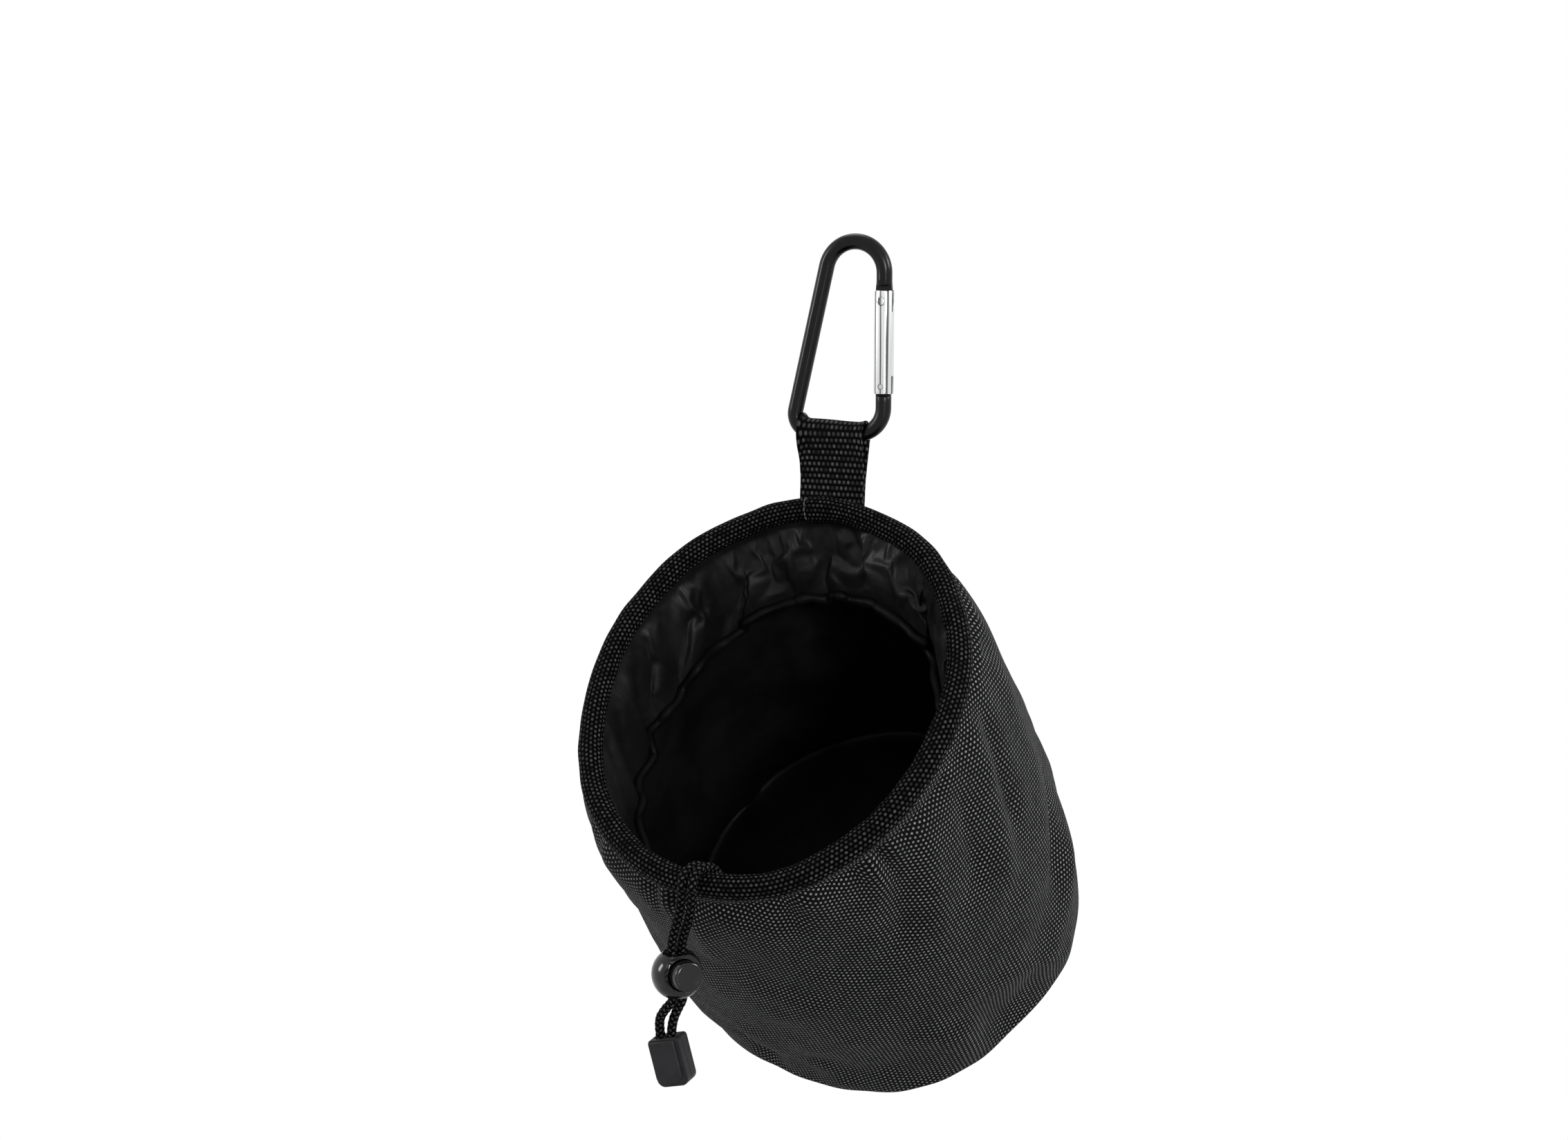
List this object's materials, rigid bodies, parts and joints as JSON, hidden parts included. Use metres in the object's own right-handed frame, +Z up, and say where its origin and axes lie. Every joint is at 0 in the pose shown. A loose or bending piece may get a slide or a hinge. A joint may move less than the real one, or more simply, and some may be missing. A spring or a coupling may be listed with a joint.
{
  "type": "peg bag",
  "caption": "Round cloth bag for clothes pegs, hung by a webbing strap from a small carabiner, with a bound rim, drawcord collar, cord lock and end clip.",
  "frame": {"origin": "seat of the clothes line, on the inner top of the carabiner's arch", "axes": "+Z up as it hangs, -Y to the front where the mouth opens, +X to the gate side of the carabiner"},
  "size_m": [0.1493, 0.2155, 0.2919],
  "materials": {
    "black_aluminium": "glossy black anodised",
    "bright_aluminium": "polished",
    "steel": "satin",
    "webbing": "matt weave",
    "shell_cloth": "coarse matt weave",
    "lining_cloth": "satin",
    "binding_tape": "matt weave",
    "cord_braid": "braided",
    "lock_plastic": "glossy",
    "clip_plastic": "matt",
    "stiffener_plastic": "matt"
  },
  "bodies": {
    "carabiner": {"carabiner_body": "black_aluminium"},
    "gate": {"carabiner_gate": "bright_aluminium", "gate_hinge_rivet": "steel", "gate_latch_pin": "steel", "gate_plunger": "steel", "gate_spring": "steel"},
    "strap": {"hanger_webbing": "webbing"},
    "bag": {"hanger_sewn_end": "webbing", "outer_shell": "shell_cloth", "base_panel": "shell_cloth", "base_stiffener": "stiffener_plastic", "lining_wall": "lining_cloth", "lining_base": "lining_cloth", "rim_binding": "binding_tape", "rim_hoop": "stiffener_plastic", "drawstring_collar": "lining_cloth", "collar_drawcord": "cord_braid"},
    "cord": {"drawcord_left_leg": "cord_braid", "drawcord_right_leg": "cord_braid", "cord_end_front_shell": "clip_plastic", "cord_end_back_shell": "clip_plastic", "cord_end_knot": "cord_braid"},
    "lock": {"cord_lock_barrel": "lock_plastic", "cord_lock_spring": "steel"},
    "button": {"cord_lock_button": "lock_plastic"}
  },
  "joints": [
    {"name": "gate_swing", "type": "hinge", "parent": "carabiner", "child": "gate", "pos_m": [0.0102, 0, -0.0166], "axis": [0, 1, 0], "range_deg": [0, 25], "stiffness_Nm_per_rad": 0.05},
    {"name": "strap_swing", "type": "hinge", "parent": "carabiner", "child": "strap", "pos_m": [-0.00613, 0, -0.0602], "axis": [1, 0, 0], "range_deg": [-60, 60]},
    {"name": "bag_tilt", "type": "hinge", "parent": "strap", "child": "bag", "pos_m": [-0.00613, 0, -0.0916], "axis": [1, 0, 0], "range_deg": [-30, 35]},
    {"name": "cord_swing", "type": "hinge", "parent": "bag", "child": "cord", "pos_m": [-0.00833, -0.11353, -0.18385], "axis": [1, 0, 0], "range_deg": [-70, 15], "deforming": ["drawcord_left_leg", "drawcord_right_leg"]},
    {"name": "lock_slide", "type": "slide", "parent": "cord", "child": "lock", "axis": [0, 0, 1], "range_m": [-0.008, 0.012], "deforming": ["drawcord_left_leg", "drawcord_right_leg"]},
    {"name": "button_press", "type": "slide", "parent": "lock", "child": "button", "axis": [-0.766, 0.6428, 0], "range_m": [0, 0.0013], "stiffness_N_per_m": 400, "deforming": ["cord_lock_spring"]}
  ]
}
